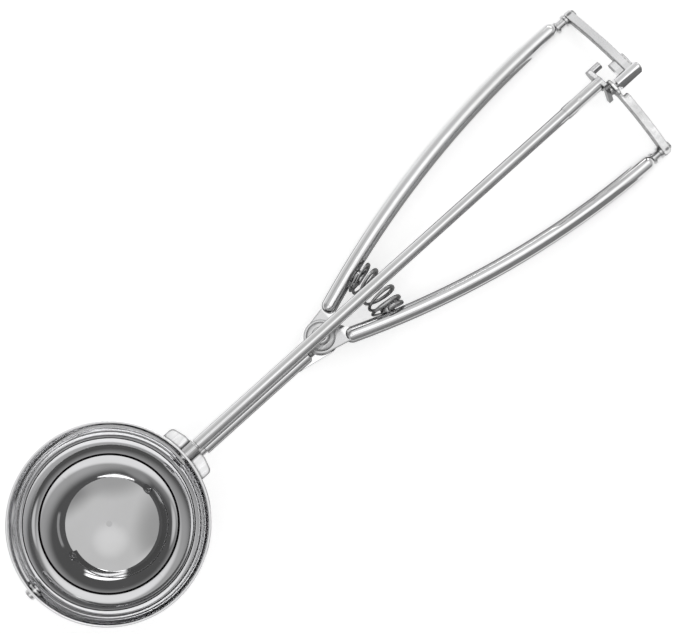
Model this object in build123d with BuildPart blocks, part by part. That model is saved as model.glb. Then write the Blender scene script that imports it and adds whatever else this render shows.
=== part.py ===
from build123d import *
import math
import os

os.makedirs("parts", exist_ok=True)

# Lever ice cream scoop, in millimetres, +Z up, lying on a bench as it rests by itself:
# the bowl's underside and the two handle tips touch z = 0. The scoop's long axis runs
# along +Y, from the bowl to the handle, and the bowl opens upwards.
#
# Every piece is drawn in the scoop's own frame, which leans back with the handle:
# its origin is the centre of the bowl's sphere, x goes across the handle, y along the
# turning shaft, and z straight out of the bowl's mouth.

# ---- bowl, scraper and their bearings
bowl_inner_r = 29.5
bowl_wall = 0.8
bowl_outer_r = bowl_inner_r + bowl_wall
lip_height = 2.9
lip_round = 0.3
scraper_gap = 0.35
scraper_thick = 0.6
scraper_width = 5.4
scraper_eye_r = 3.2
scraper_rest_angle = 6.5
tenon_r = 1.0
tenon_head_r = 1.7
tenon_head_height = 0.7
tip_pin_r = 1.1
tip_pin_head_r = 1.85
tip_pin_outer_head = 1.3
tip_pin_inner_head = 0.7
tip_pin_play = 0.15

# ---- turning shaft and its bush
shaft_r = 1.9
journal_r = 1.5
journal_end = 34.6
shaft_end = 196.8
bush_neck_r = 2.2
bush_collar_r = 2.5
bush_collar_low = 30.4
bush_inner_end = 29.3
bush_outer_end = 34.2
running_gap = 0.05

# ---- bracket that joins the bowl, the bush and the stem
ear_half_width = 8.65
ear_reach = 33.9
ear_shoulder = 32.6
ear_root = 25.0
ear_thick = 1.2
ear_corner = 1.6
saddle_thick = 1.2
saddle_half_width = 5.6
saddle_depth = 13.2

# ---- fixed stem under the shaft, with its paddle at the pivot
stem_r = 1.9
stem_neck_r = 1.3
stem_x = 1.6
stem_z = -10.0
stem_low = 35.4
stem_high = 78.0
stem_nose = 1.0
paddle_thick = 1.6
paddle_top = -11.0
paddle_r = 5.6
paddle_root_y = 73.0

# ---- handle pivot
pivot_y = 84.1
lug_r = 5.2
lug_thick = 1.2
lug_top = {"left": -9.5, "right": -8.0}
pivot_r = 1.7
washer_r = 4.5
washer_thick = 0.7
washer_bottom = -7.75
pivot_head_r = 2.9
pivot_head_height = 1.3
pivot_tail_r = 2.7
pivot_tail_height = 0.9

# ---- handle arms, pressed channels that are open underneath
outward = {"left": -1, "right": 1}
arm_width = 4.8
arm_wall = 0.8
arm_top = -6.9
arm_depth = 5.2
arm_bottom = arm_top - arm_depth
arm_bow = 4.7
arm_round = 2.2
arm_foot = {"left": (-5.3, 92.5), "right": (5.8, 91.9)}
arm_end = {"left": (-23.1, 200.1), "right": (27.4, 194.1)}
lug_root_r = 1.5

# ---- spring between the arms, and the pegs that hold its ends
spring_y = 104.2
spring_z = -9.3
spring_outer_r = 5.3
spring_wire = 1.2
spring_clearance = 0.35
peg_r = 2.2
peg_reach = 2.4
peg_rivet_r = 1.0
peg_tail = 0.4
peg_lift = 0.03

# ---- links, their hinge pins and the knee
hinge_z = -10.5
hinge_pin_r = 1.0
hinge_head_r = 1.25
hinge_head_height = 0.25
hinge_at = {"left": (-22.4, 208.4), "right": (27.5, 201.8)}
link_width = 2.8
link_wall = 0.6
link_depth = 2.8
link_arch = 1.5
link_foot_r = {"left": 1.8, "right": 2.1}
link_round = 0.35
link_hollow_drop = 1.0
link_hollow_ends = 0.05
link_hollow_end_r = 1.15
side_gap = 0.25
link_foot_back = 1.4
link_end_round = 1.0
spacer_r = 2.0
spacer_waist_r = 1.45
spacer_flange = 0.75
knee_x = 3.8
knee_z = -2.8
knee_pin_r = 0.9
knee_head_r = 1.7
knee_head_height = 0.8
barrel_r = 2.1
barrel_low = 202.4
barrel_high = 210.9
web_low = 204.7
web_high = 210.4
web_share = 0.8
web_thick = 1.8
eye_slack = 1.0
eye_rise_slack = 0.6
eye_rim = 1.0
eye_low = 200.4
eye_thick = 1.0
channel_share = 0.80

# ---- dog on the knee pin, and the forked crank on the shaft that it drives
dog_offset = 2.3
dog_pin_r = 0.7
dog_r = 1.5
dog_low = 199.4
dog_high = 200.1
dog_pin_low = 197.9
crank_low = 197.6
crank_high = 199.1
crank_hub_r = 2.1
crank_hub_low = 184.0
fork_slack = 1.45
fork_prong = 1.4
fork_root = 1.15
fork_reach = 7.4
crossbar_width = 3.4
tail_reach = 3.0
stop_roll_r = 1.2
stop_roll_reach = 4.68
stop_roll_high = 202.5
cross_pin_r = 0.6
cross_pin_y = 189.6

# ---- how the scoop lies on the bench
rest_lean = 4.9
bench_shift_x = 0.0
bench_shift_y = -89.6

# ---- sizes that follow from the ones above
scraper_outer_r = bowl_inner_r - scraper_gap
scraper_inner_r = scraper_outer_r - scraper_thick
head_seat = math.sqrt(scraper_inner_r**2 - tenon_head_r**2)
washer_top = washer_bottom + washer_thick
knee = Vector(knee_x, knee_z)
left_hinge = Vector(hinge_at["left"][0], hinge_z)
dog = knee - (knee - left_hinge).normalized() * dog_offset
crank_angle = math.degrees(math.atan2(dog.Y, dog.X))
fork_gap = 2 * (dog_pin_r + fork_slack)

tool = Plane(
    origin=(bench_shift_x, bench_shift_y, bowl_outer_r),
    x_dir=(1, 0, 0),
    z_dir=(0, math.sin(math.radians(rest_lean)), math.cos(math.radians(rest_lean))),
)
up = Axis(tool.origin, tool.z_dir)
lengthwise = Axis(tool.origin, tool.y_dir)
sideways = Axis(tool.origin, tool.x_dir)


def level(height):
    """Plane parallel to the bowl's rim, at this height above the shaft's axis."""
    return tool.offset(height)


def across(reach):
    """Plane square to the shaft, this far along it: x across, y up, facing the bowl."""
    return Plane(
        origin=tool.from_local_coords((0, reach, 0)),
        x_dir=tool.x_dir,
        z_dir=-tool.y_dir,
    )


def polar(radius, angle):
    """Point of a cross-section at this radius and angle from the shaft's axis."""
    return (radius * math.cos(math.radians(angle)), radius * math.sin(math.radians(angle)))


def finish(builder, name):
    """Name a piece and write it out."""
    builder.part.label = name
    export_step(builder.part, "parts/" + name + ".step")


# ---------------------------------------------------------------- bowl
with BuildPart() as bowl:
    with BuildSketch(across(0)):
        with BuildLine():
            Line((0, -bowl_outer_r), (0, -bowl_inner_r))
            CenterArc((0, 0), bowl_inner_r, 270, 90)
            Line((bowl_inner_r, 0), (bowl_inner_r, lip_height))
            Line((bowl_inner_r, lip_height), (bowl_outer_r, lip_height))
            Line((bowl_outer_r, lip_height), (bowl_outer_r, 0))
            CenterArc((0, 0), bowl_outer_r, 0, -90)
        make_face()
    revolve(axis=up)
    fillet(bowl.edges().filter_by(GeomType.CIRCLE).group_by(up)[-1], lip_round)
    with BuildSketch(across(bowl_outer_r + 1)):
        Circle(bush_neck_r)
    extrude(amount=bowl_outer_r, mode=Mode.SUBTRACT)
    with BuildSketch(across(0)):
        Circle(tip_pin_r)
    extrude(amount=bowl_outer_r + 1, mode=Mode.SUBTRACT)
finish(bowl, "bowl")

# ---------------------------------------------------------------- bush in the bowl's wall
with BuildPart() as shaft_bush:
    with BuildSketch(across(bush_outer_end)):
        Circle(bush_collar_r)
    extrude(amount=bush_outer_end - bush_collar_low)
    fillet(shaft_bush.edges().group_by(lengthwise)[-1], lip_round)
    with BuildSketch(across(bush_outer_end)):
        Circle(bush_neck_r)
    extrude(amount=bush_outer_end - bush_inner_end)
    with BuildSketch(across(bush_outer_end)):
        Circle(journal_r + running_gap)
    extrude(amount=bush_outer_end - bush_inner_end, mode=Mode.SUBTRACT)
finish(shaft_bush, "shaft_bush")

# ---------------------------------------------------------------- bracket brazed to the bowl
with BuildPart(tool) as bowl_bracket:
    with BuildSketch(level(-saddle_depth)):
        with Locations((0, bowl_outer_r)):
            Rectangle(2 * saddle_half_width, bowl_outer_r)
    extrude(amount=saddle_depth)
    Sphere(bowl_outer_r + saddle_thick, mode=Mode.INTERSECT)
    with BuildSketch(level(-ear_thick / 2)) as ears:
        Polygon(
            (-ear_half_width, ear_root),
            (ear_half_width, ear_root),
            (ear_half_width, ear_shoulder),
            (ear_half_width / 2, ear_reach),
            (-ear_half_width / 2, ear_reach),
            (-ear_half_width, ear_shoulder),
            align=None,
        )
        fillet(ears.vertices().group_by(Axis.Y)[-2], ear_corner)
    extrude(amount=ear_thick)
    Sphere(bowl_outer_r, mode=Mode.SUBTRACT)
    with BuildSketch(tool):
        Circle(bowl_outer_r)
    extrude(amount=lip_height, mode=Mode.SUBTRACT)
    with BuildSketch(across(bush_outer_end + 1)):
        Circle(bush_collar_r)
    extrude(amount=bush_outer_end, mode=Mode.SUBTRACT)
    with BuildSketch(across(stem_low)):
        with Locations((stem_x, stem_z)):
            Circle(stem_neck_r)
    extrude(amount=stem_low, mode=Mode.SUBTRACT)
finish(bowl_bracket, "bowl_bracket")

# ---------------------------------------------------------------- stem and paddle
with BuildPart(tool) as stem:
    with BuildSketch(across(stem_high)):
        with Locations((stem_x, stem_z)):
            Circle(stem_r)
    extrude(amount=stem_high - stem_low)
    fillet(stem.edges().group_by(lengthwise)[-1], stem_nose)
    fillet(stem.edges().group_by(lengthwise)[0], lip_round)
    with BuildSketch(across(stem_low)):
        with Locations((stem_x, stem_z)):
            Circle(stem_neck_r)
    extrude(amount=stem_low - ear_root)
    with BuildSketch(level(paddle_top - paddle_thick)):
        with BuildLine():
            CenterArc((0, pivot_y), paddle_r, 0, 360)
            CenterArc((stem_x, paddle_root_y), stem_r, 0, 360)
        make_hull()
    extrude(amount=paddle_thick)
    with BuildSketch(level(paddle_top)):
        with Locations((0, pivot_y)):
            Circle(pivot_r)
    extrude(amount=-paddle_thick, mode=Mode.SUBTRACT)
    Sphere(bowl_outer_r, mode=Mode.SUBTRACT)
finish(stem, "stem")

# ---------------------------------------------------------------- turning shaft
with BuildPart() as shaft:
    with BuildSketch(across(crank_hub_low)):
        Circle(shaft_r)
    extrude(amount=crank_hub_low - journal_end)
    fillet(shaft.edges().group_by(lengthwise)[0], lip_round)
    with BuildSketch(across(shaft_end)):
        Circle(journal_r)
    extrude(amount=shaft_end - scraper_outer_r)
    with BuildSketch(across(journal_end)):
        Circle(tenon_r)
    extrude(amount=journal_end - head_seat)
    with BuildSketch(across(head_seat)):
        Circle(tenon_head_r)
    extrude(amount=tenon_head_height)
    fillet(shaft.edges().group_by(lengthwise)[0], tenon_head_height / 2)
    with BuildSketch(level(-crank_hub_r)):
        with Locations((0, cross_pin_y)):
            Circle(cross_pin_r)
    extrude(amount=2 * crank_hub_r, mode=Mode.SUBTRACT)
finish(shaft, "shaft")

# ---------------------------------------------------------------- scraper blade
with BuildPart(tool) as scraper:
    with BuildSketch(tool.rotated((0, -90 - scraper_rest_angle, 0))):
        Rectangle(scraper_width, 2 * scraper_outer_r)
    extrude(amount=bowl_outer_r)
    with BuildSketch(across(bowl_outer_r)):
        Circle(scraper_eye_r)
    extrude(amount=2 * bowl_outer_r)
    Sphere(scraper_outer_r, mode=Mode.INTERSECT)
    Sphere(scraper_inner_r, mode=Mode.SUBTRACT)
    with BuildSketch(across(bowl_outer_r)):
        Circle(tenon_r)
    extrude(amount=bowl_outer_r, mode=Mode.SUBTRACT)
    with BuildSketch(across(0)):
        Circle(tip_pin_r + running_gap)
    extrude(amount=bowl_outer_r, mode=Mode.SUBTRACT)
finish(scraper, "scraper")

# ---------------------------------------------------------------- pin opposite the shaft
with BuildPart() as tip_pin:
    pin_inner_end = tip_pin_inner_head + tip_pin_play - head_seat
    with BuildSketch(across(-bowl_outer_r)):
        Circle(tip_pin_head_r)
    extrude(amount=tip_pin_outer_head)
    fillet(tip_pin.edges().group_by(lengthwise)[0], tip_pin_outer_head / 2)
    with BuildSketch(across(pin_inner_end)):
        Circle(tip_pin_r)
    extrude(amount=pin_inner_end + bowl_outer_r)
    with BuildSketch(across(pin_inner_end)):
        Circle(tenon_head_r)
    extrude(amount=tip_pin_inner_head)
    fillet(tip_pin.edges().group_by(lengthwise)[-1], tip_pin_inner_head / 2)
finish(tip_pin, "tip_pin")

# ---------------------------------------------------------------- pivot rivet and washer
with BuildPart() as pivot_rivet:
    with BuildSketch(level(washer_top)):
        with Locations((0, pivot_y)):
            Circle(pivot_head_r)
    extrude(amount=pivot_head_height)
    fillet(pivot_rivet.edges().group_by(up)[-1], pivot_head_height - 0.1)
    with BuildSketch(level(washer_top)):
        with Locations((0, pivot_y)):
            Circle(pivot_r)
    extrude(amount=paddle_top - paddle_thick - washer_top)
    with BuildSketch(level(paddle_top - paddle_thick)):
        with Locations((0, pivot_y)):
            Circle(pivot_tail_r)
    extrude(amount=-pivot_tail_height)
    fillet(pivot_rivet.edges().group_by(up)[0], pivot_tail_height - 0.3)
finish(pivot_rivet, "pivot_rivet")

with BuildPart() as pivot_washer:
    with BuildSketch(level(washer_bottom)):
        with Locations((0, pivot_y)):
            Circle(washer_r)
            Circle(pivot_r, mode=Mode.SUBTRACT)
    extrude(amount=washer_thick)
    fillet(pivot_washer.faces().sort_by(up)[-1].outer_wire().edges(), lip_round)
finish(pivot_washer, "pivot_washer")


# ---------------------------------------------------------------- handle arms
def arm_centre(side):
    """Centreline of an arm, from its foot to its end, bowed away from the shaft."""
    with BuildLine() as centre:
        SagittaArc(arm_foot[side], arm_end[side], -arm_bow * outward[side])
    return centre.edges()[0]


def spring_seat(side):
    """Centreline point beside the spring, and the direction from there to the spring."""
    centre = arm_centre(side)
    share = (spring_y - arm_foot[side][1]) / (arm_end[side][1] - arm_foot[side][1])
    heading = centre % share
    return centre @ share, Vector(-heading.Y, heading.X) * outward[side]


def peg_plane(side, distance):
    """Plane square to an arm's inner wall, this far from the arm's centreline."""
    seat, inward = spring_seat(side)
    centre = seat + inward * distance
    return Plane(
        origin=tool.from_local_coords((centre.X, centre.Y, spring_z)),
        z_dir=tool.from_local_coords(inward) - tool.origin,
    )


def build_arm(side):
    """Pressed channel with closed round ends, and the flat lug at its foot."""
    centre = arm_centre(side)
    inner_width = arm_width - 2 * arm_wall
    lug_bottom = lug_top[side] - lug_thick
    hinge_x, hinge_y = hinge_at[side]
    with BuildPart() as arm:
        with BuildSketch(level(arm_bottom)):
            SlotArc(centre, arm_width)
        extrude(amount=arm_depth)
        fillet(arm.faces().sort_by(up)[-1].edges(), arm_round)
        with BuildSketch(level(arm_bottom)):
            SlotArc(centre, inner_width)
        extrude(amount=arm_depth - arm_wall, mode=Mode.SUBTRACT)
        with BuildSketch(level(lug_bottom)):
            with BuildLine():
                CenterArc((0, pivot_y), lug_r, 0, 360)
                CenterArc(arm_foot[side], lug_root_r, 0, 360)
            make_hull()
        extrude(amount=lug_thick)
        with BuildSketch(level(lug_bottom)):
            with Locations((0, pivot_y)):
                Circle(pivot_r + running_gap)
        extrude(amount=lug_thick, mode=Mode.SUBTRACT)
        with BuildSketch(across(hinge_y)):
            with Locations((hinge_x, hinge_z)):
                Circle(hinge_pin_r)
        extrude(amount=hinge_y - arm_end[side][1], mode=Mode.SUBTRACT)
        with BuildSketch(peg_plane(side, arm_width / 2 - 2 * arm_wall)):
            Circle(peg_rivet_r)
        extrude(amount=2 * arm_wall, mode=Mode.SUBTRACT)
    return arm


def build_peg(side):
    """Button that holds one end of the spring, riveted through the arm's inner wall."""
    with BuildPart() as peg:
        with BuildSketch(peg_plane(side, arm_width / 2 + peg_lift)):
            Circle(peg_r)
        extrude(amount=peg_reach)
        inner_end = peg.faces().sort_by(sideways)[-1 if side == "left" else 0]
        fillet(inner_end.edges(), peg_rivet_r / 2)
        with BuildSketch(peg_plane(side, arm_width / 2 - arm_wall - peg_tail)):
            Circle(peg_rivet_r)
        extrude(amount=arm_wall + peg_tail + peg_reach / 2)
    return peg


def build_hinge_pin(side):
    """Pin that stands out of the arm's end along the handle, with its domed head."""
    hinge_x, hinge_y = hinge_at[side]
    head_low = hinge_y + link_width / 2 + side_gap
    with BuildPart() as hinge_pin:
        with BuildSketch(across(head_low + hinge_head_height)):
            with Locations((hinge_x, hinge_z)):
                Circle(hinge_head_r)
        extrude(amount=hinge_head_height)
        fillet(hinge_pin.edges().group_by(lengthwise)[-1], hinge_head_height - 0.1)
        with BuildSketch(across(head_low)):
            with Locations((hinge_x, hinge_z)):
                Circle(hinge_pin_r)
        extrude(amount=head_low - arm_end[side][1] - arm_width / 2 + 2 * arm_wall)
    return hinge_pin


def build_spacer(side):
    """Spool on the hinge pin, between the arm's round end and the link."""
    hinge_x, hinge_y = hinge_at[side]
    low = arm_end[side][1] + arm_width / 2 + running_gap
    high = hinge_y - link_width / 2 - side_gap
    with BuildPart() as spacer:
        with BuildSketch(across(high)):
            with Locations((hinge_x, hinge_z)):
                Circle(spacer_r)
                Circle(hinge_pin_r, mode=Mode.SUBTRACT)
        extrude(amount=high - low)
        with BuildSketch(across(high - spacer_flange)):
            with Locations((hinge_x, hinge_z)):
                Circle(spacer_r + running_gap)
                Circle(spacer_waist_r, mode=Mode.SUBTRACT)
        extrude(amount=high - low - 2 * spacer_flange, mode=Mode.SUBTRACT)
    return spacer


for side in outward:
    finish(build_arm(side), side + "_arm")
    finish(build_peg(side), side + "_spring_peg")
    finish(build_hinge_pin(side), side + "_hinge_pin")
    finish(build_spacer(side), side + "_hinge_spacer")

# ---------------------------------------------------------------- spring between the arms
with BuildPart() as spring:
    spring_walls = []
    for side in outward:
        seat, inward = spring_seat(side)
        wall = seat + inward * (arm_width / 2 + spring_clearance)
        run = Vector(-inward.Y, inward.X) * 2 * spring_outer_r
        spring_walls += [wall - run, wall + run]
    with BuildSketch(level(spring_z - 2 * spring_outer_r)):
        Polygon(*[(corner.X, corner.Y) for corner in spring_walls], align=None)
    extrude(amount=4 * spring_outer_r)
    with BuildSketch(Plane(origin=tool.origin, x_dir=tool.y_dir, z_dir=tool.x_dir)):
        with Locations((spring_y, spring_z)):
            Circle(spring_outer_r)
            Circle(spring_outer_r - spring_wire, mode=Mode.SUBTRACT)
    extrude(amount=arm_end["right"][0], both=True, mode=Mode.INTERSECT)
finish(spring, "spring")


# ---------------------------------------------------------------- links
def link_centre(side, drop=0.0):
    """Arched centreline of a link, from its hinge to the knee, seen along the shaft."""
    start = (hinge_at[side][0], hinge_z - drop)
    with BuildLine() as centre:
        SagittaArc(start, (knee_x, knee_z - drop), -link_arch * outward[side])
    return centre.edges()[0]


def link_foot(side):
    """Outline of a link's outer end, square beyond the hinge pin, seen along the shaft."""
    hinge = Vector(hinge_at[side][0], hinge_z)
    heading = link_centre(side) % 0
    crown = Vector(heading.Y, -heading.X) * outward[side]
    inner_top = hinge + crown * link_depth / 2
    outer_x = hinge.X + outward[side] * link_foot_r[side]
    outer_top = inner_top + heading * ((outer_x - inner_top.X) / heading.X)
    bottom = hinge_z - link_foot_r[side]
    with BuildSketch() as outline:
        Polygon(
            (inner_top.X, inner_top.Y),
            (outer_top.X, outer_top.Y),
            (outer_x, bottom),
            (hinge.X - outward[side] * link_foot_back, bottom),
            align=None,
        )
    return outline.sketch


def round_link_end(link, side):
    """Rounds the two upright edges at a link's outer end."""
    uprights = link.edges().filter_by(up).sort_by(sideways, reverse=side == "right")
    fillet(uprights[:2], link_end_round)


def cut_link_hollow(side, knee_end):
    """Outline of a link's hollow, seen along the shaft, open downwards."""
    hollow = link_centre(side, link_hollow_drop).trim(link_hollow_ends, knee_end - link_hollow_ends)
    with BuildSketch() as outline:
        SlotArc(hollow, link_depth)
        with Locations((hinge_at[side][0], hinge_z)):
            Circle(link_hollow_end_r)
        with Locations((hinge_at[side][0], hinge_z - link_foot_r[side])):
            Rectangle(2 * link_hollow_end_r, 2 * link_foot_r[side])
    return outline.sketch


with BuildPart() as left_link:
    hinge_x, hinge_y = hinge_at["left"]
    link_top = hinge_y + link_width / 2
    with BuildSketch(across(link_top)):
        SlotArc(link_centre("left"), link_depth)
        add(link_foot("left"))
    extrude(amount=link_width)
    round_link_end(left_link, "left")
    left_link_ends = left_link.edges().group_by(lengthwise)
    fillet(left_link_ends[-1] + left_link_ends[0], link_round)
    with BuildSketch(across(link_top - link_wall)):
        add(cut_link_hollow("left", web_share))
    extrude(amount=link_width - 2 * link_wall, mode=Mode.SUBTRACT)
    with BuildSketch(across(web_high)):
        SlotArc(link_centre("left").trim(web_share, 1), web_thick)
    extrude(amount=web_high - web_low)
    with BuildSketch(across(barrel_high)):
        with Locations((knee_x, knee_z)):
            Circle(barrel_r)
    extrude(amount=barrel_high - barrel_low)
    with BuildSketch(across(barrel_high)):
        with Locations((knee_x, knee_z)):
            Circle(knee_pin_r)
    extrude(amount=barrel_high - barrel_low, mode=Mode.SUBTRACT)
    with BuildSketch(across(link_top)):
        with Locations((hinge_x, hinge_z)):
            Circle(hinge_pin_r + running_gap)
    extrude(amount=link_width, mode=Mode.SUBTRACT)
finish(left_link, "left_link")

with BuildPart() as right_link:
    hinge_x, hinge_y = hinge_at["right"]
    link_top = hinge_y + link_width / 2
    with BuildSketch(across(link_top)):
        SlotArc(link_centre("right").trim(0, channel_share), link_depth)
        add(link_foot("right"))
    extrude(amount=link_width)
    round_link_end(right_link, "right")
    fillet(right_link.edges().group_by(lengthwise)[-1], link_round)
    with BuildSketch(across(link_top - link_wall)):
        add(cut_link_hollow("right", channel_share))
    extrude(amount=link_width - 2 * link_wall, mode=Mode.SUBTRACT)
    with BuildSketch(across(eye_low + eye_thick)):
        SlotArc(link_centre("right"), link_depth)
        with Locations((knee_x, knee_z)):
            RectangleRounded(
                2 * (knee_pin_r + eye_slack + eye_rim),
                2 * (knee_pin_r + eye_rise_slack + eye_rim),
                knee_pin_r + eye_rim,
            )
    extrude(amount=eye_thick)
    with BuildSketch(across(eye_low + eye_thick)):
        with Locations((knee_x, knee_z)):
            RectangleRounded(
                2 * (knee_pin_r + eye_slack), 2 * (knee_pin_r + eye_rise_slack), knee_pin_r
            )
    extrude(amount=eye_thick, mode=Mode.SUBTRACT)
    with BuildSketch(across(link_top)):
        with Locations((hinge_x, hinge_z)):
            Circle(hinge_pin_r + running_gap)
    extrude(amount=link_width, mode=Mode.SUBTRACT)
finish(right_link, "right_link")

# ---------------------------------------------------------------- knee pin and its dog
with BuildPart() as knee_pin:
    with BuildSketch(across(barrel_high + knee_head_height)):
        with Locations((knee_x, knee_z)):
            Circle(knee_head_r)
    extrude(amount=knee_head_height)
    fillet(knee_pin.edges().group_by(lengthwise)[-1], knee_head_height - 0.2)
    with BuildSketch(across(barrel_high)):
        with Locations((knee_x, knee_z)):
            Circle(knee_pin_r)
    extrude(amount=barrel_high - dog_low)
finish(knee_pin, "knee_pin")

with BuildPart() as knee_dog:
    with BuildSketch(across(dog_high)):
        with BuildLine():
            CenterArc((knee_x, knee_z), dog_r, 0, 360)
            CenterArc((dog.X, dog.Y), dog_r - 0.3, 0, 360)
        make_hull()
        with Locations((knee_x, knee_z)):
            Circle(knee_pin_r, mode=Mode.SUBTRACT)
    extrude(amount=dog_high - dog_low)
    with BuildSketch(across(dog_high)):
        with Locations((dog.X, dog.Y)):
            Circle(dog_pin_r)
    extrude(amount=dog_high - dog_pin_low)
finish(knee_dog, "knee_dog")

# ---------------------------------------------------------------- forked crank
with BuildPart() as crank_fork:
    with BuildSketch(across(crank_high)):
        Circle(crank_hub_r)
        with Locations(polar(fork_reach / 2, crank_angle)):
            Rectangle(fork_reach, fork_gap + 2 * fork_prong, rotation=crank_angle)
        with Locations(polar(tail_reach / 2, crank_angle + 90)):
            Rectangle(tail_reach, crossbar_width, rotation=crank_angle + 90)
        with Locations(polar(stop_roll_reach / 2, crank_angle - 90)):
            Rectangle(stop_roll_reach, crossbar_width, rotation=crank_angle - 90)
        with Locations(polar(fork_root + fork_reach / 2, crank_angle)):
            Rectangle(fork_reach, fork_gap, rotation=crank_angle, mode=Mode.SUBTRACT)
    extrude(amount=crank_high - crank_low)
    with BuildSketch(across(crank_low)):
        Circle(crank_hub_r)
    extrude(amount=crank_low - crank_hub_low)
    with BuildSketch(across(stop_roll_high)):
        with Locations(polar(stop_roll_reach, crank_angle - 90)):
            Circle(stop_roll_r)
    extrude(amount=stop_roll_high - crank_low)
    with BuildSketch(across(shaft_end)):
        Circle(journal_r)
    extrude(amount=shaft_end - crank_hub_low, mode=Mode.SUBTRACT)
    with BuildSketch(level(-crank_hub_r)):
        with Locations((0, cross_pin_y)):
            Circle(cross_pin_r)
    extrude(amount=2 * crank_hub_r, mode=Mode.SUBTRACT)
finish(crank_fork, "crank_fork")

with BuildPart() as cross_pin:
    with BuildSketch(level(-crank_hub_r)):
        with Locations((0, cross_pin_y)):
            Circle(cross_pin_r)
    extrude(amount=2 * crank_hub_r)
finish(cross_pin, "cross_pin")
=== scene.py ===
import math

import bmesh
import bpy
from mathutils import Matrix, Vector


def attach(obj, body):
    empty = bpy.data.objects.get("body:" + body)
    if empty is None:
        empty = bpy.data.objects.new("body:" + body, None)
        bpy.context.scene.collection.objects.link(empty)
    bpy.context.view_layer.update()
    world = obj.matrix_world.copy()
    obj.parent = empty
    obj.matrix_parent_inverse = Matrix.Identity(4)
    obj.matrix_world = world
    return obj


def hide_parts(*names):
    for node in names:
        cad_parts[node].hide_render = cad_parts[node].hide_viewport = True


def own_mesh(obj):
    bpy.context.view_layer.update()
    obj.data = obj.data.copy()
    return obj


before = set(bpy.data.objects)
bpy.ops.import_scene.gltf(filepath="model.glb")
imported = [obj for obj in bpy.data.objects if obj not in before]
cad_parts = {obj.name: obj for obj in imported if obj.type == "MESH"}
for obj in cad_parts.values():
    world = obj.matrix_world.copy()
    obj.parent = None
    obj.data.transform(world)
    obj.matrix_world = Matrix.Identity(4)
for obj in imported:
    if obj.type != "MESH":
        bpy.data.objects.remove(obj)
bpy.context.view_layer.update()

# ---------------------------------------------------------------- the scoop's own frame
LEAN = math.radians(4.9)
BOWL_CENTRE = Vector((0, -0.0896, 0.0303))
TOOL = Matrix.Translation(BOWL_CENTRE) @ Matrix.Rotation(-LEAN, 4, "X")


def tool(x, y, z):
    """A point given in the scoop's own frame, in millimetres, as a place in the scene."""
    return TOOL @ Vector((x / 1000, y / 1000, z / 1000))


def cos_degrees(angle):
    return math.cos(math.radians(angle))


# ---------------------------------------------------------------- nodes
class Nodes:
    """Adds nodes to a tree. Each input is given as a value, or as a socket to link."""

    def __init__(self, tree):
        self.tree = tree

    def put(self, node, key, value):
        if isinstance(value, bpy.types.NodeSocket):
            self.tree.links.new(value, node.inputs[key])
        else:
            node.inputs[key].default_value = value

    def add(self, kind, inputs, **settings):
        node = self.tree.nodes.new(kind)
        for key, value in settings.items():
            setattr(node, key, value)
        for key, value in inputs.items():
            self.put(node, key, value)
        return node

    def source(self, kind):
        """The outputs of a node that has no inputs."""
        return self.add(kind, {}).outputs

    def math(self, operation, *values):
        return self.add("ShaderNodeMath", dict(enumerate(values)), operation=operation).outputs["Value"]

    def vector_math(self, operation, *values):
        return self.add("ShaderNodeVectorMath", dict(enumerate(values)), operation=operation).outputs

    def mix(self, factor, first, second):
        inputs = {"Factor": factor, "A": first, "B": second}
        return self.add("ShaderNodeMix", inputs, data_type="FLOAT").outputs["Result"]

    def mix_colours(self, factor, first, second):
        inputs = {"Factor": factor, "A": first, "B": second}
        return self.add("ShaderNodeMix", inputs, data_type="RGBA").outputs["Result"]

    def ramp(self, value, low, high, low_at, high_at, **settings):
        """Low where the value is low_at, high where it is high_at, and even in between."""
        inputs = {"Value": value, "From Min": low_at, "From Max": high_at, "To Min": low, "To Max": high}
        return self.add("ShaderNodeMapRange", inputs, **settings).outputs["Result"]

    def fade(self, value, start, full):
        """0 at the start, 1 at full, and smooth in between."""
        return self.ramp(value, 0, 1, start, full, interpolation_type="SMOOTHSTEP")


class Surface(Nodes):
    """A material and its shader."""

    def __init__(self, name, colour, roughness):
        self.material = bpy.data.materials.new(name)
        self.material.use_nodes = True
        super().__init__(self.material.node_tree)
        self.shader = self.tree.nodes["Principled BSDF"]
        self.put(self.shader, "Base Color", colour)
        self.put(self.shader, "Roughness", roughness)


# ---------------------------------------------------------------- finishes
def steel_grey(grey):
    """Steel's colour, which is a little blue."""
    return (grey, grey, grey * 1.01, 1)


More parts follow.
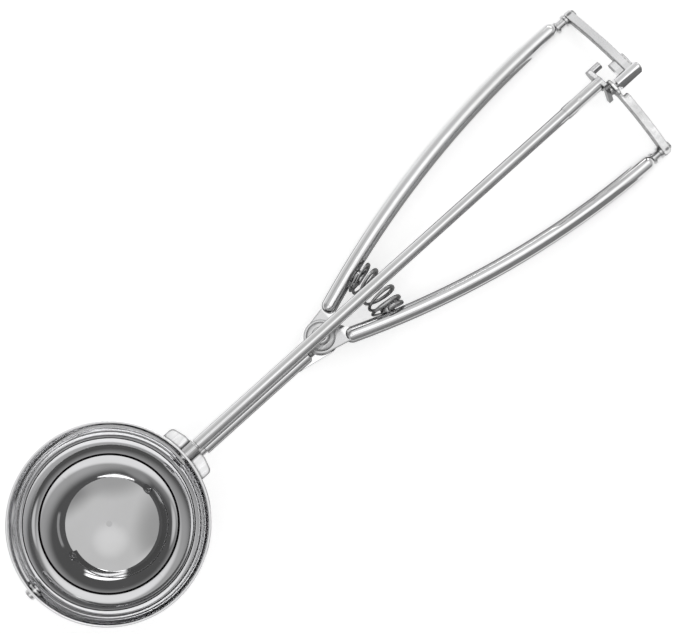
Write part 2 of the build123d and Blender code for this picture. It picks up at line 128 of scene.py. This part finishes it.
class Finish(Surface):
    """A metal finish, built up node by node."""

    def __init__(self, name, grey, roughness):
        super().__init__(name, steel_grey(grey), roughness)
        self.put(self.shader, "Metallic", 1.0)
        self.place = self.source("ShaderNodeTexCoord")["Object"]
        self.colour = None
        self.shine = None

    def paint(self, colour):
        self.colour = colour
        self.put(self.shader, "Base Color", colour)

    def gloss(self, shine):
        self.shine = shine
        self.put(self.shader, "Roughness", shine)

    def bump(self, value, strength, depth):
        inputs = {"Strength": strength, "Distance": depth, "Height": value}
        self.put(self.shader, "Normal", self.add("ShaderNodeBump", inputs).outputs["Normal"])

    def moved(self, place, key, value, **more):
        """A place that is turned, scaled or shifted."""
        inputs = {"Vector": place, key: value, **more}
        return self.add("ShaderNodeMapping", inputs, vector_type="POINT").outputs["Vector"]

    def stretched(self, scale):
        """Object coordinates squeezed or stretched, square to the scoop's own frame."""
        return self.moved(self.moved(self.place, "Rotation", (LEAN, 0, 0)), "Scale", scale)

    def in_tool(self):
        """Where a point lies in the scoop's own frame, in metres, as X, Y and Z sockets."""
        back = TOOL.inverted()
        turned = self.moved(self.place, "Rotation", back.to_euler(), Location=back.to_translation())
        return self.add("ShaderNodeSeparateXYZ", {"Vector": turned}).outputs

    def noise(self, place, scale, detail):
        inputs = {"Vector": place, "Scale": scale, "Detail": detail}
        return self.add("ShaderNodeTexNoise", inputs).outputs["Fac"]

    def noise_ramp(self, noise, low, high):
        """Low and high at the ends of the span that most of a noise lies in."""
        return self.ramp(noise, low, high, 0.3, 0.7)

    def flat(self, reach):
        """1 on a flat face, falling to 0 within this reach of a sharp outer edge."""
        inside = self.add(
            "ShaderNodeAmbientOcclusion", {"Distance": reach}, samples=8, inside=True, only_local=True
        )
        return self.ramp(inside.outputs["AO"], 0, 1, 0.55, 0.9)

    def upward(self):
        """1 on faces that look up or down, 0 on those that stand upright."""
        normal = self.source("ShaderNodeTexCoord")["Normal"]
        top = TOOL.to_3x3() @ Vector((0, 0, 1))
        rise = self.vector_math("DOT_PRODUCT", normal, top)["Value"]
        return self.ramp(self.math("ABSOLUTE", rise), 0, 1, 0.5, 0.7)

    def change(self, mask, grey, roughness=None):
        """Another colour and roughness where the mask is 0."""
        self.paint(self.mix_colours(mask, steel_grey(grey), self.colour))
        if roughness is not None:
            self.gloss(self.mix(mask, roughness, self.shine))

    def outline(self, reach, grey, inside=None):
        """Painted shade: darkens sharp cut edges and upright sides to this grey, outside the place where
        the mask inside is 1.
        """
        mask = self.math("MINIMUM", self.flat(reach), self.upward())
        if inside is not None:
            mask = self.math("MAXIMUM", mask, inside)
        self.change(mask, grey)


SMEAR_SCALE = 55
SCRATCH_DEPTH = 0.00002


def polished(name, grey, roughness, scratch, scratch_bump):
    """Mirror-polished steel: faint smears, pin-sized dullness and hair-fine polishing marks."""
    finish = Finish(name, grey, roughness)
    smear = finish.noise(finish.place, SMEAR_SCALE, 4)
    hair = finish.noise(finish.stretched(scratch), 1.0, 2)
    dull = (grey * 0.94, grey * 0.94, grey * 0.94, 1)
    bright = (grey * 1.03, grey * 1.03, grey * 1.04, 1)
    finish.paint(finish.mix_colours(finish.noise_ramp(smear, 0, 1), dull, bright))
    finish.gloss(finish.noise_ramp(hair, roughness * 0.6, roughness * 1.6))
    finish.bump(hair, scratch_bump, SCRATCH_DEPTH)
    return finish


# where one finish gives way to the next, in metres in the scoop's own frame
LIP_HIGHLIGHT_LEVEL = (0.0024, 0.0027)
DULL_LEVEL = (-0.008, -0.001)
LUG_END = (0.0896, 0.0902)
BARREL_EDGE = (0.0, 0.0008)
SLEEVE_END = (0.1970, 0.1975)


def bowl_finish():
    """The bowl's mirror, a little duller near its lip, with a painted highlight that makes the lip's top
    near white.
    """
    steel = polished("bowl steel", 0.75, 0.02, (900, 900, 900), 0.008)
    height = steel.in_tool()["Z"]
    steel.change(steel.ramp(height, 1, 0, *DULL_LEVEL), 0.75, 0.07)
    # painted highlight: the lip's top gets a near-white colour, 0.98, with a satin roughness of 0.22
    steel.change(steel.ramp(height, 1, 0, *LIP_HIGHLIGHT_LEVEL), 0.98, 0.22)
    return steel.material


def arm_finish():
    """The arms' polish, which stops at the flat satin lugs, with painted shade on the lugs' cut edges
    and upright sides.
    """
    steel = polished("arm steel", 0.70, 0.10, (1800, 90, 1800), 0.05)
    handle = steel.ramp(steel.in_tool()["Y"], 0, 1, *LUG_END)
    steel.change(handle, 0.56, 0.24)
    # painted shade: the lugs' cut edges and upright sides are darkened to grey 0.22
    steel.outline(0.0006, 0.22, inside=handle)
    return steel.material


def link_finish():
    """Satin links, with painted shade on their pressed sides and cut edges."""
    steel = polished("link steel", 0.80, 0.24, (600, 600, 600), 0.02)
    # painted shade: the link's cut edges and upright sides are darkened to grey 0.22
    steel.outline(0.0004, 0.22)
    return steel.material


def barrel_link_finish():
    """The link that carries the knee's barrel, which is polished."""
    steel = polished("barrel link steel", 0.88, 0.24, (600, 600, 600), 0.02)
    side = steel.in_tool()["X"]
    steel.change(steel.ramp(side, 1, 0, *BARREL_EDGE), 0.80, 0.09)
    # painted shade: outside the barrel, the link's cut edges and upright sides are darkened to grey 0.22
    steel.outline(0.0004, 0.22, inside=steel.ramp(side, 0, 1, *BARREL_EDGE))
    return steel.material


def plate_finish():
    """Flat satin plate, with painted shade on its cut edges and upright sides."""
    steel = polished("plate steel", 0.74, 0.26, (1400, 160, 1400), 0.03)
    # painted shade: the plate's cut edges and upright sides are darkened to grey 0.20
    steel.outline(0.0008, 0.20)
    return steel.material


def crank_finish():
    """Machined crank, with painted shade on the sides between its polished faces."""
    steel = polished("crank steel", 0.70, 0.07, (2500, 120, 2500), 0.05)
    sleeve = steel.ramp(steel.in_tool()["Y"], 1, 0, *SLEEVE_END)
    steel.change(sleeve, 0.62, 0.14)
    # painted shade: beyond the sleeve, the crank's cut edges and upright sides are darkened to grey 0.20
    steel.outline(0.0004, 0.20, inside=sleeve)
    return steel.material


arm_steel = arm_finish()
plate_steel = plate_finish()
rod_steel = polished("rod steel", 0.70, 0.07, (2500, 120, 2500), 0.05).material
turned_steel = polished("turned steel", 0.58, 0.14, (700, 4200, 700), 0.08).material
blade_steel = polished("blade steel", 0.60, 0.08, (200, 2600, 2600), 0.05).material
wire_steel = polished("wire steel", 0.42, 0.14, (900, 900, 900), 0.05).material

FINISHES = {
    "bowl": bowl_finish(),
    "shaft_bush": turned_steel,
    "bowl_bracket": plate_steel,
    "stem": rod_steel,
    "tip_pin": turned_steel,
    "pivot_rivet": turned_steel,
    "pivot_washer": plate_steel,
    "left_arm": arm_steel,
    "right_arm": arm_steel,
    "left_spring_peg": wire_steel,
    "right_spring_peg": wire_steel,
    "left_hinge_pin": turned_steel,
    "right_hinge_pin": turned_steel,
    "left_hinge_spacer": turned_steel,
    "right_hinge_spacer": turned_steel,
    "left_link": barrel_link_finish(),
    "right_link": link_finish(),
    "knee_pin": turned_steel,
    "knee_dog": turned_steel,
    "shaft": rod_steel,
    "scraper": blade_steel,
    "crank_fork": crank_finish(),
    "cross_pin": turned_steel,
    "spring": wire_steel,
}
for name, material in FINISHES.items():
    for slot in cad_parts[name].material_slots:
        slot.material = material


# ---------------------------------------------------------------- spring
def add_piece(mesh, name, material):
    """Makes an object of a bmesh, with one material."""
    data = bpy.data.meshes.new(name)
    mesh.to_mesh(data)
    mesh.free()
    data.materials.append(material)
    piece = bpy.data.objects.new(name, data)
    bpy.context.scene.collection.objects.link(piece)
    return piece


# millimetres in the scoop's own frame; each wind is a number of turns and their pitch
COIL_MIDDLE = (0.67, 105.9, -9.3)
COIL_BEND = 23.4
COIL_HALF = 7.0
COIL_ASKEW = math.tan(math.radians(13))
COIL_R = 4.85
COIL_WIRE_R = 0.52
COIL_STEPS = 36
COIL_WINDS = ((1, 1.1), (4, 2.95), (1, 1.1))


def coil():
    """Compression spring with closed ends, fanned out and a little askew between the two arms."""
    mesh = bmesh.new()
    ring = bmesh.ops.create_circle(mesh, segments=12, radius=COIL_WIRE_R)["verts"]
    bmesh.ops.rotate(mesh, verts=ring, cent=(0, 0, 0), matrix=Matrix.Rotation(math.pi / 2, 3, "X"))
    bmesh.ops.translate(mesh, verts=ring, vec=(-COIL_HALF, 0, COIL_R))
    end = list(mesh.verts) + list(mesh.edges)
    for turns, pitch in COIL_WINDS:
        end = bmesh.ops.spin(
            mesh,
            geom=end,
            cent=(0, 0, 0),
            axis=(1, 0, 0),
            dvec=(pitch / COIL_STEPS, 0, 0),
            angle=math.tau * turns,
            steps=turns * COIL_STEPS,
            use_merge=False,
        )["geom_last"]
    bmesh.ops.remove_doubles(mesh, verts=mesh.verts, dist=0.0001)
    bmesh.ops.holes_fill(mesh, edges=[edge for edge in mesh.edges if edge.is_boundary], sides=0)
    for vert in mesh.verts:
        x, y, z = vert.co
        x -= z * COIL_ASKEW * (1 - min(1, abs(x) / COIL_HALF) ** 4)
        turn = x / COIL_BEND
        across = COIL_MIDDLE[0] + (COIL_BEND + y) * math.sin(turn)
        along = COIL_MIDDLE[1] - COIL_BEND + (COIL_BEND + y) * math.cos(turn)
        vert.co = tool(across, along, COIL_MIDDLE[2] + z)
    bmesh.ops.recalc_face_normals(mesh, faces=mesh.faces)
    for face in mesh.faces:
        face.smooth = True
    return add_piece(mesh, "spring_coil", wire_steel)


spring = coil()
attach(spring, "frame")
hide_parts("spring")
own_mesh(spring)

# ---------------------------------------------------------------- camera
CAMERA_REACH = 0.6
CAMERA_SIDE = 0.048
SHAFT_SLOPE = math.radians(41.95)
PICTURE_WIDTH = 680
PIXELS_PER_METRE = 100.0 / 0.0295


def square_to(view, direction):
    """The part of a direction that lies square to the view, at unit length."""
    return (direction - view * view.dot(direction)).normalized()


target = tool(0, 92, 0)
camera_spot = target + Vector((CAMERA_SIDE, 0, math.sqrt(CAMERA_REACH**2 - CAMERA_SIDE**2)))
forward = (target - camera_spot).normalized()
shaft_way = (tool(0, 200, 0) - tool(0, 0, 0)).normalized()
along_view = square_to(forward, shaft_way)
across_view = forward.cross(along_view)
right = along_view * math.cos(SHAFT_SLOPE) + across_view * math.sin(SHAFT_SLOPE)
up = along_view * math.sin(SHAFT_SLOPE) - across_view * math.cos(SHAFT_SLOPE)


def camera():
    """A lens above the scoop, with the shaft running up to the right."""
    data = bpy.data.cameras.new("camera")
    view = bpy.data.objects.new("camera", data)
    bpy.context.scene.collection.objects.link(view)
    bpy.context.scene.camera = view
    turn = Matrix((right, up, -forward)).transposed()
    view.matrix_world = Matrix.Translation(camera_spot) @ turn.to_4x4()
    depth = (BOWL_CENTRE - camera_spot).dot(forward)
    data.lens = PIXELS_PER_METRE * depth * data.sensor_width / PICTURE_WIDTH
    data.shift_x = -0.3 / PICTURE_WIDTH
    data.shift_y = -0.9 / PICTURE_WIDTH
    data.clip_start = 0.01


camera()

# ---------------------------------------------------------------- sky
ZENITH = (camera_spot - BOWL_CENTRE).normalized()
EAST = square_to(ZENITH, right)
NORTH = square_to(ZENITH, up)

# bearings and sizes in degrees; a level of 1 is white
# the sky that first reflections see: its base and (bearing, tilt, inner, outer, level) of each patch
FIRST_SKY = (0.68, (
    (-48.1, 85, 28, 55, 0.30),
    (175, 70, 8, 48, 0.42),
    (132, 88, 12, 38, 0.85),
    (-90, 70, 20, 45, 0.45),
    (95, 20, 3, 25, 0.84),
))
# the sky that deeper reflections see
LATER_SKY = (0.13, (
    (115, 22, 6, 40, 0.60),
    (60, 42, 4, 14, 0.42),
    (88, 15, 9, 18, 1.25),
    (0, 17, 2, 7, 0.90),
))
# (bearing, half length, tilt, half width, level) of each arc
LATER_ARCS = (
    (187, 22, 57, 4, 0.45),
    (-94, 26, 54.5, 3.5, 2.2),
    (-94, 24, 45.5, 4.5, 2.6),
)
# the deeper sky grows brighter between these two depths
LIFT_DEPTHS = (2, 5)
LIFT = 2.6


def studio_way(bearing, tilt):
    """A direction from the bowl: bearing counted from the picture's right, tilt from the view's axis."""
    flat = EAST * cos_degrees(bearing) + NORTH * math.sin(math.radians(bearing))
    return ZENITH * cos_degrees(tilt) + flat * math.sin(math.radians(tilt))


def sky_patches(sky, way, base, patches):
    """A dome with soft brighter and darker patches."""
    level = base
    for bearing, tilt, inner, outer, strength in patches:
        near = sky.vector_math("DOT_PRODUCT", way, studio_way(bearing, tilt))["Value"]
        level = sky.mix(sky.fade(near, cos_degrees(outer), cos_degrees(inner)), level, strength)
    return level


def sky_arcs(sky, way, level, arcs):
    """Long narrow lights round the view's axis."""
    tilt = sky.math("ARCCOSINE", sky.vector_math("DOT_PRODUCT", way, ZENITH)["Value"])
    sideways = sky.vector_math("CROSS_PRODUCT", way, ZENITH)["Vector"]
    level_way = sky.vector_math("NORMALIZE", sideways)["Vector"]
    for bearing, half_length, middle, half_width, strength in arcs:
        off = sky.math("ABSOLUTE", sky.math("SUBTRACT", tilt, math.radians(middle)))
        band = sky.fade(off, math.radians(half_width), math.radians(half_width * 0.6))
        square = studio_way(bearing, 90).cross(ZENITH)
        turned = sky.vector_math("DOT_PRODUCT", level_way, square)["Value"]
        reach = sky.fade(turned, cos_degrees(half_length), cos_degrees(half_length * 0.75))
        level = sky.mix(sky.math("MULTIPLY", band, reach), level, strength)
    return level


def paint_sky():
    """White to the camera, one sky to first reflections and another to deeper ones."""
    world = bpy.data.worlds.new("studio")
    bpy.context.scene.world = world
    world.use_nodes = True
    sky = Nodes(world.node_tree)
    background = sky.tree.nodes["Background"]
    way = sky.source("ShaderNodeTexCoord")["Generated"]
    rays = sky.source("ShaderNodeLightPath")
    first = sky_patches(sky, way, *FIRST_SKY)
    later = sky_arcs(sky, way, sky_patches(sky, way, *LATER_SKY), LATER_ARCS)
    lifted = sky.math("MULTIPLY", later, sky.ramp(rays["Glossy Depth"], 1, LIFT, *LIFT_DEPTHS))
    deep = sky.math("GREATER_THAN", rays["Glossy Depth"], 1.5)
    reflected = sky.mix(deep, first, lifted)
    sky.put(background, "Strength", sky.mix(rays["Is Camera Ray"], reflected, 1.0))
    sky.put(background, "Color", (1, 1, 1, 1))


paint_sky()


# ---------------------------------------------------------------- floor and boards
def stage_surface(name, grey):
    """Plain matt stuff for the floor and the studio's boards."""
    surface = Surface(name, (grey, grey, grey, 1), 1.0)
    surface.put(surface.shader, "Specular IOR Level", 0.0)
    return surface


def glow(surface, strength):
    surface.put(surface.shader, "Emission Color", (1, 1, 1, 1))
    surface.put(surface.shader, "Emission Strength", strength)


def only_in_reflections(piece):
    piece.visible_camera = False
    piece.visible_diffuse = False
    piece.visible_transmission = False
    piece.visible_volume_scatter = False
    piece.visible_shadow = False


def board(name, size, surface, place):
    """A flat board of the stage, made lying flat about the origin and then put in its place."""
    mesh = bmesh.new()
    bmesh.ops.create_grid(mesh, x_segments=1, y_segments=1, size=0.5)
    bmesh.ops.scale(mesh, vec=(size[0], size[1], 1), verts=mesh.verts)
    bmesh.ops.transform(mesh, matrix=place, verts=mesh.verts)
    piece = add_piece(mesh, name, surface.material)
    return piece


FLOOR_SIZE = 6.0
FLOOR_GREY = 0.8
FLOOR_GLOW = 0.50


def floor():
    """A pale floor, brighter to the camera and in reflections, which keeps the shadow."""
    surface = stage_surface("floor", FLOOR_GREY)
    rays = surface.source("ShaderNodeLightPath")
    seen = surface.math("MAXIMUM", rays["Is Camera Ray"], rays["Is Glossy Ray"])
    glow(surface, surface.math("MULTIPLY", seen, FLOOR_GLOW))
    board("floor", (FLOOR_SIZE, FLOOR_SIZE), surface, Matrix())


floor()

LENS_R = 0.038
LENS_GREY = 0.01
LENS_GLOW = 0.62


def lens_cap():
    """The dark front of the camera's lens, which the bowl mirrors as thin rings."""
    surface = stage_surface("lens black", LENS_GREY)
    depth = surface.source("ShaderNodeLightPath")["Glossy Depth"]
    glow(surface, surface.math("MULTIPLY", surface.math("LESS_THAN", depth, 1.5), LENS_GLOW))
    mesh = bmesh.new()
    bmesh.ops.create_circle(mesh, cap_ends=True, segments=48, radius=LENS_R)
    facing = (BOWL_CENTRE - camera_spot).to_track_quat("Z", "Y").to_matrix().to_4x4()
    bmesh.ops.transform(mesh, matrix=Matrix.Translation(camera_spot) @ facing, verts=mesh.verts)
    piece = add_piece(mesh, "lens_front", surface.material)
    only_in_reflections(piece)


lens_cap()

LYING = Matrix()
STANDING = Matrix.Rotation(math.pi / 2, 4, "Z") @ Matrix.Rotation(math.pi / 2, 4, "X")

# grey boards beside and under the handle, which darken the flanks of the rods, the arms and the knee
FLAGS = (
    ("side_flag", "flag grey", 0.42, (0.165, 0.040), (0.043, 0.0175, 0.0205), STANDING),
    ("low_flag", "low flag grey", 0.47, (0.058, 0.165), (0.001, 0.0175, 0.0006), LYING),
    ("knee_flag", "knee flag grey", 0.30, (0.010, 0.044), (0.0095, 0.1185, 0.0228), STANDING),
)
for name, surface_name, grey, size, middle, turn in FLAGS:
    flag = board(name, size, stage_surface(surface_name, grey), Matrix.Translation(middle) @ turn)
    only_in_reflections(flag)


# ---------------------------------------------------------------- lamps
def lamp(name, place, target, size, level):
    """A soft lamp aimed at its target; level is how bright it looks, with 1 as white."""
    data = bpy.data.lights.new(name, "AREA")
    data.shape = "RECTANGLE"
    data.size, data.size_y = size
    data.energy = level * math.pi * size[0] * size[1]
    light = bpy.data.objects.new(name, data)
    light.location = place
    light.rotation_euler = (Vector(target) - Vector(place)).to_track_quat("-Z", "Y").to_euler()
    light.visible_camera = False
    bpy.context.scene.collection.objects.link(light)
    return light


def light_group(light, name, pieces, state):
    """Lets a lamp light only these pieces, with INCLUDE, or all but these, with EXCLUDE."""
    group = bpy.data.collections.new(name)
    for piece in pieces:
        group.objects.link(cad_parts[piece])
    for member in group.collection_objects:
        member.light_linking.link_state = state
    light.light_linking.receiver_collection = group


north_place = BOWL_CENTRE + studio_way(82, 62) * 0.9
north = lamp("north softbox", north_place, BOWL_CENTRE, (0.62, 0.16), 3.0)
light_group(north, "without the north softbox", ("left_link", "right_link"), "EXCLUDE")

# the long lamp over the handle leaves out the bowl, which has its own lamps
strip = lamp("overhead strip", (0.075, 0.05, 0.66), (0.075, 0.05, 0), (0.36, 1.2), 0.65)
light_group(strip, "without the overhead strip", ("bowl",), "EXCLUDE")

# a small lamp for the right link alone, which slopes away from the strip
slope_light = lamp("link light", (0.446, 0.11, 0.285), (0.022, 0.11, 0.02), (0.45, 0.45), 0.75)
light_group(slope_light, "lit by the link light", ("right_link",), "INCLUDE")

bpy.context.scene.view_settings.view_transform = "Standard"
bpy.context.scene.cycles.glossy_bounces = 12
